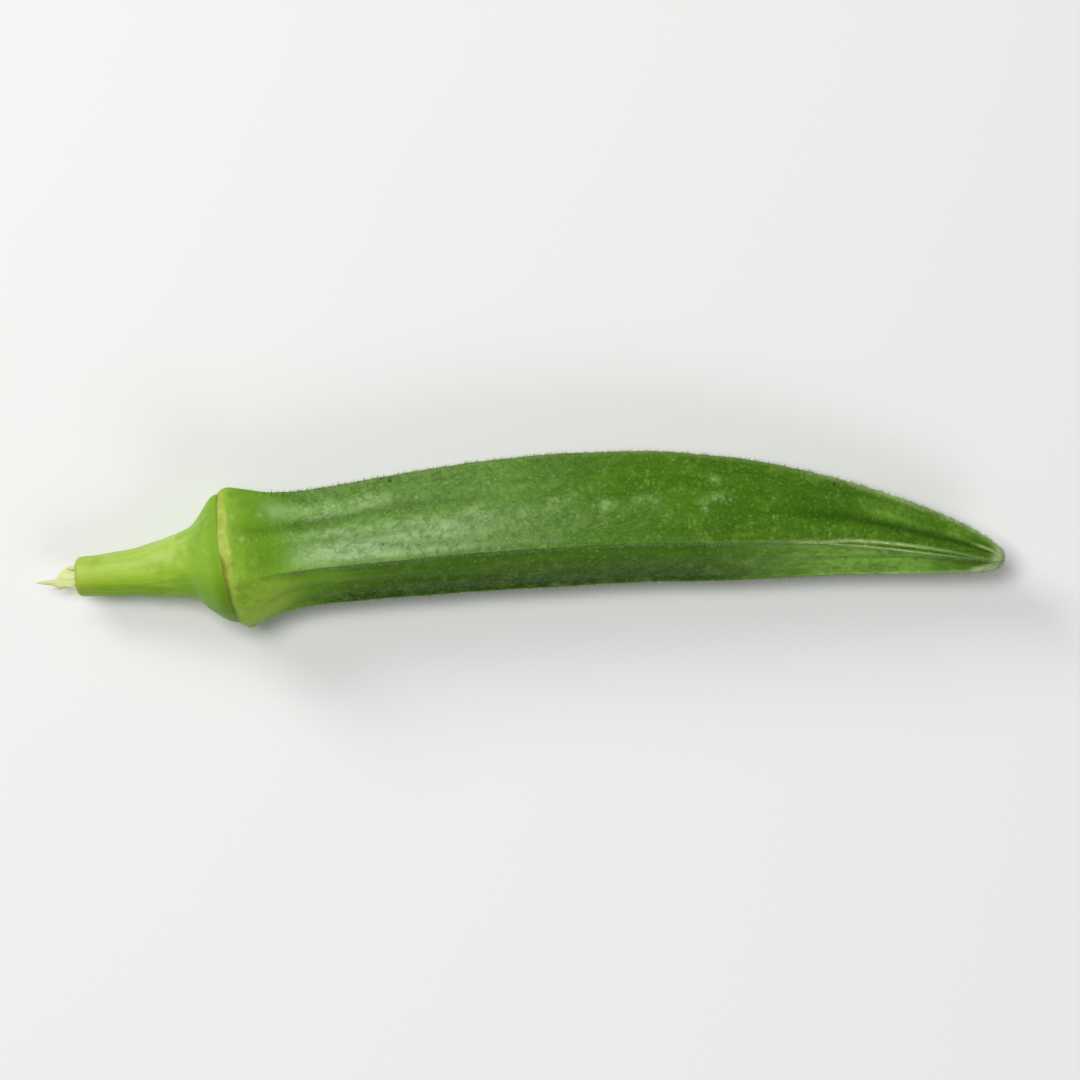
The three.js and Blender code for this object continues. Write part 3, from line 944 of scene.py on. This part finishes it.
def cut_rows(points, values):
    """The rough face where the stalk was cut, as rows that close in on its middle."""
    rim = points[0]
    middle = rim.mean(0)
    rows = []
    for share in CUT_SHARES:
        row = middle + (rim - middle) * share
        row[:, 0] += CUT_ROUGHNESS * waver(row, 0.7, 7) - CUT_BULGE * (1 - share ** 4)
        rows.append(row)
    faces = len(rows)
    points = np.concatenate([np.array(rows), points])
    values = {
        key: np.concatenate([np.repeat(value[:1], faces, 0), value])
        for key, value in values.items()
    }
    values["cut"] = np.array(values["cut"])
    values["cut"][:faces - 1] = 1
    return points, values


# The torn bark

# The torn tongue: distance, sideways, height, half width and half thickness down its length.
TONGUE = [
    (-18.6, -5.0, 4.8, 1.35, 0.5), (-19.8, -5.0, 4.9, 1.42, 0.45), (-20.8, -5.2, 5.0, 1.2, 0.36),
    (-21.6, -5.6, 5.1, 0.86, 0.3), (-22.1, -5.72, 5.2, 0.42, 0.22), (-23.2, -5.72, 5.4, 0.25, 0.16),
    (-24.3, -5.72, 5.7, 0.08, 0.07),
]
# Loose fibres beside it, in the same terms.
FIBRES = [
    [(-19.0, -4.0, 5.3, 0.2, 0.2), (-20.0, -3.95, 5.5, 0.14, 0.12), (-20.6, -3.8, 5.6, 0.04, 0.04)],
    [(-20.4, -6.2, 4.9, 0.2, 0.16), (-21.6, -6.5, 5.0, 0.12, 0.1), (-22.3, -6.45, 5.0, 0.03, 0.03)],
    [(-19.0, -6.9, 4.4, 0.18, 0.18), (-19.8, -6.95, 4.4, 0.1, 0.1), (-20.2, -7.0, 4.5, 0.03, 0.03)],
]
TONGUE_ROWS = 90
TONGUE_SIDES = 36
FIBRE_ROWS = 14
FIBRE_SIDES = 8
TONGUE_TATTER = 0.12
FIBRE_TATTER = 0.03
TATTER_SIZE = 0.35


def strip_grid(route, rows, sides, ragged):
    """A flat, tapering strip of torn fibre along a route."""
    columns = list(zip(*route))
    length = np.linspace(0, len(route) - 1, rows)
    at = [through(list(enumerate(column)))(length) for column in columns]
    x, y, z, half_width, half_thickness = at
    turned = np.linspace(0, 2 * math.pi, sides, endpoint=False)
    grid = np.stack([
        np.repeat(x[:, None], sides, 1),
        y[:, None] + half_width[:, None] * np.cos(turned),
        z[:, None] - half_thickness[:, None] * np.sin(turned),
    ], -1)
    tatter = waver(grid * np.array([0.25, 1, 1]), TATTER_SIZE, 10)
    grid[..., 2] += ragged * tatter * np.minimum(1, half_thickness / 0.3)[:, None]
    grid[..., 1] += 0.5 * ragged * tatter * np.minimum(1, half_width / 0.6)[:, None]
    # Painted light: paler on the strip's upper face.
    lit = 0.5 - 0.5 * np.sin(turned)[None] + 0.25 * tatter
    return grid, {"lit": lit}


# Hairs

HAIR_SIDES = 3
HAIR_STRAY = 0.35
HAIR_SINK = 0.06
# The fuzz on the walls and the bristles on the ribs, and where along the pod they grow denser.
FUZZ_COUNT = 26000
FUZZ_GROWS = (2, 30)
FUZZ_LEAST = 0.25
FUZZ_LENGTH = (0.15, 0.36)
FUZZ_THICKNESS = 0.022
FUZZ_LEAN = 0.35
BRISTLE_COUNT = 14000
BRISTLES_GROW = (0.8, 2.5)
BRISTLE_LEAST = 1e-4
BRISTLE_LENGTH = (0.22, 0.6)
BRISTLE_THICKNESS = 0.032
BRISTLE_LEAN = 0.3


def spread(points, normals, count, wanted, seed):
    """Random places on a grid's skin, as many to an area as the wanted weights ask."""
    draw = np.random.default_rng(seed)
    across = np.roll(points, -1, axis=1)[:-1] - points[:-1]
    ahead = points[1:] - points[:-1]
    weight = np.linalg.norm(np.cross(across, ahead), axis=-1) * wanted[:-1]
    rows, columns = weight.shape
    chance = (weight / weight.sum()).ravel()
    chosen = draw.choice(chance.size, count, p=chance)
    row, column = chosen // columns, chosen % columns
    s, t = draw.random((2, count, 1))
    beside = (column + 1) % points.shape[1]
    roots = ((1 - s) * (1 - t) * points[row, column] + s * (1 - t) * points[row + 1, column]
             + (1 - s) * t * points[row, beside] + s * t * points[row + 1, beside])
    return roots, normals[row, column]


def make_hairs(name, roots, normals, length, thickness, lean, seed):
    """Tapering three-sided hairs, sunk a little into the skin and leaning towards the tip."""
    draw = np.random.default_rng(seed)
    above = roots[:, 2] > length[1]
    roots, normals = roots[above], normals[above]
    count = len(roots)
    stray = draw.normal(0, HAIR_STRAY, (count, 3))
    direction = normals + stray + np.array([lean, 0, 0])
    direction /= np.linalg.norm(direction, axis=1, keepdims=True)
    across = np.cross(direction, draw.normal(0, 1, (count, 3)))
    across /= np.linalg.norm(across, axis=1, keepdims=True)
    beyond = np.cross(direction, across)
    long = draw.uniform(*length, (count, 1))
    foot = roots - HAIR_SINK * normals
    corners = [foot + thickness * (across * math.cos(a) + beyond * math.sin(a))
               for a in np.arange(HAIR_SIDES) * 2 * math.pi / HAIR_SIDES]
    points = np.stack([*corners, roots + direction * long], 1)
    start = np.arange(count)[:, None] * (HAIR_SIDES + 1)
    sides = [start + np.array([a, (a + 1) % HAIR_SIDES, HAIR_SIDES]) for a in range(HAIR_SIDES)]
    base = start + np.arange(HAIR_SIDES)[::-1]
    faces = np.stack([*sides, base], 1).reshape(-1, 3)
    values = {"length": np.tile([0.0] * HAIR_SIDES + [1.0], (count, 1))}
    return make_piece(name, points, faces, values)


def finish_piece(piece, material, replaced=None):
    """Gives a piece its material and slot, and hides the solid that it replaces."""
    piece.data.materials.append(material)
    if replaced:
        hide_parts(replaced)


pod_points, pod_values = tip_rows(*pod_grid())
finish_piece(make_skin("pod_skin", pod_points, pod_values), pod_finish(), "pod")

stem_points, stem_values = stem_grid()
finish_piece(make_skin("stem_skin", stem_points, stem_values), stem_finish(), "stem")

bark = bark_finish()
tongue = strip_grid(TONGUE, TONGUE_ROWS, TONGUE_SIDES, TONGUE_TATTER)
finish_piece(make_skin("torn_tongue", *tongue), bark)
for number, route in enumerate(FIBRES, 1):
    fibre = strip_grid(route, FIBRE_ROWS, FIBRE_SIDES, FIBRE_TATTER)
    finish_piece(make_skin(f"torn_fibre_{number}", *fibre), bark)

pod_normals = grid_normals(pod_points)
rib_zone = pod_values["crest"] ** 2 * smooth(pod_values["along"], *BRISTLES_GROW)
wall_zone = FUZZ_LEAST + smooth(pod_values["along"], *FUZZ_GROWS)
pod_hair = hair_finish()
on_walls = spread(pod_points, pod_normals, FUZZ_COUNT, wall_zone, seed=21)
fuzz = make_hairs("pod_fuzz", *on_walls, FUZZ_LENGTH, FUZZ_THICKNESS, FUZZ_LEAN, seed=22)
finish_piece(fuzz, pod_hair)
on_ribs = spread(pod_points, pod_normals, BRISTLE_COUNT, rib_zone + BRISTLE_LEAST, seed=23)
bristles = make_hairs(
    "rib_bristles", *on_ribs, BRISTLE_LENGTH, BRISTLE_THICKNESS, BRISTLE_LEAN, seed=24,
)
finish_piece(bristles, pod_hair)


# Floor, lights and camera

FLOOR_SIZE = 6
WORLD_STRENGTH = 0.14


def floor_finish():
    """Plain, pale and matt."""
    pale = Finish("floor", {"Specular IOR Level": 0.2})
    patches = pale.noise(pale.place(), 3.0, 2.0)
    tone = pale.mix(FLOOR, FLOOR_PATCH, patches)
    return pale.done(Base_Color=tone, Roughness=0.75 + 0.1 * patches)


bpy.ops.mesh.primitive_plane_add(size=FLOOR_SIZE)
floor = bpy.context.object
floor.name = "floor"
floor.data.materials.append(floor_finish())


def add_softbox(name, place, size, power):
    """A square white area light at this place, in metres, aimed at the pod."""
    light = bpy.data.lights.new(name, "AREA")
    light.shape = "SQUARE"
    light.size = size
    light.energy = power
    box = bpy.data.objects.new(name, light)
    bpy.context.scene.collection.objects.link(box)
    box.location = place
    box.rotation_euler = (-Vector(place)).to_track_quat("-Z", "Y").to_euler()


add_softbox("key_light", place=(-0.26, 0.18, 1.2), size=0.4, power=9.4)
add_softbox("side_light", place=(-0.46, 0.42, 0.42), size=0.3, power=2.8)
add_softbox("fill_light", place=(0.3, -0.5, 0.55), size=0.4, power=1.3)

world = bpy.data.worlds.new("world")
bpy.context.scene.world = world
world.use_nodes = True
backdrop = world.node_tree.nodes["Background"]
backdrop.inputs["Color"].default_value = (1, 1, 1, 1)
backdrop.inputs["Strength"].default_value = WORLD_STRENGTH

bpy.context.scene.view_settings.view_transform = "Standard"

# The camera looks straight down, with the pod placed as in the photograph at twice its scale.
# Heights and widths are in metres, VIEW_MIDDLE in millimetres as on the pod.
CAMERA_HEIGHT = 0.8
OUTLINE_HEIGHT = 0.007
VIEW_WIDTH = 0.135
VIEW_MIDDLE = (38.75, -0.37)
SENSOR = 36.0

camera = bpy.data.objects.new("camera", bpy.data.cameras.new("camera"))
bpy.context.scene.collection.objects.link(camera)
view_x, view_y = (np.array(VIEW_MIDDLE) - FOOTPRINT_MIDDLE) * MM
camera.location = (view_x, view_y, CAMERA_HEIGHT)
camera.data.sensor_width = SENSOR
camera.data.lens = SENSOR * (CAMERA_HEIGHT - OUTLINE_HEIGHT) / VIEW_WIDTH
camera.data.clip_start = 0.01
bpy.context.scene.camera = camera
